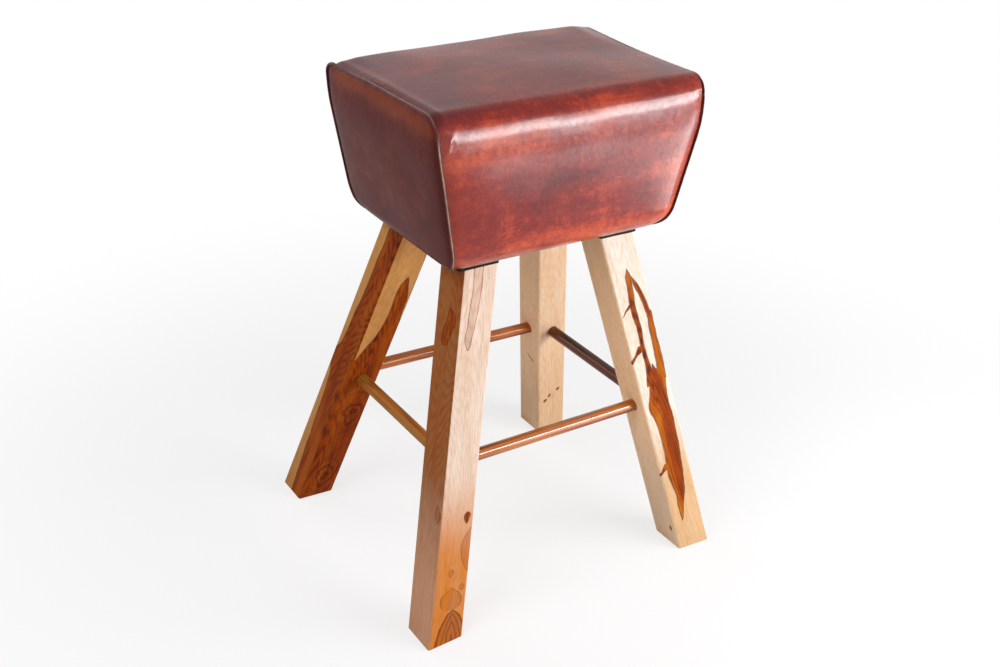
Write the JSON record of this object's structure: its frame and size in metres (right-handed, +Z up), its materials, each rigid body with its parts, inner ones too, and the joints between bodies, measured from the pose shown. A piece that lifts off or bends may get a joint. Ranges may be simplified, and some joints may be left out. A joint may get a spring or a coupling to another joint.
{
  "type": "bar stool",
  "caption": "Backless bar stool with a deep leather block seat, piped at both ends, on splayed square wooden legs tied by round rungs.",
  "frame": {"origin": "centre of the stool's outline, on the floor it stands on", "axes": "+Z up, X along the seat's long axis, -Y towards the stool's front"},
  "size_m": [0.5316, 0.4834, 0.763],
  "materials": {
    "seat_leather": "glossy, hand-rubbed red-brown",
    "piping_leather": "glossy red-brown",
    "leg_wood": "clear lacquer over pale sapwood and dark heartwood",
    "rung_wood": "clear gloss lacquer",
    "box_timber": "raw",
    "foam": "open-cell seat foam",
    "dust_cloth": "thin black non-woven",
    "black_plate": "satin black",
    "zinc_steel": "zinc plated"
  },
  "bodies": {
    "root": {"base_board": "box_timber", "box_screws": "zinc_steel", "cover_staples": "zinc_steel", "dust_cover": "dust_cloth", "end_panel_left": "seat_leather", "end_panel_right": "seat_leather", "foam_back": "foam", "foam_front": "foam", "foam_left": "foam", "foam_right": "foam", "foam_top": "foam", "frame_back": "box_timber", "frame_front": "box_timber", "frame_left": "box_timber", "frame_right": "box_timber", "lag_screws": "zinc_steel", "lag_washers": "zinc_steel", "leather_staples": "zinc_steel", "leather_wrap": "seat_leather", "leg_back_left": "leg_wood", "leg_back_right": "leg_wood", "leg_front_left": "leg_wood", "leg_front_right": "leg_wood", "leg_plate_back_left": "black_plate", "leg_plate_back_right": "black_plate", "leg_plate_front_left": "black_plate", "leg_plate_front_right": "black_plate", "piping_left": "piping_leather", "piping_right": "piping_leather", "rung_back": "rung_wood", "rung_front": "rung_wood", "rung_left": "rung_wood", "rung_right": "rung_wood", "top_board": "box_timber"}
  },
  "joints": []
}
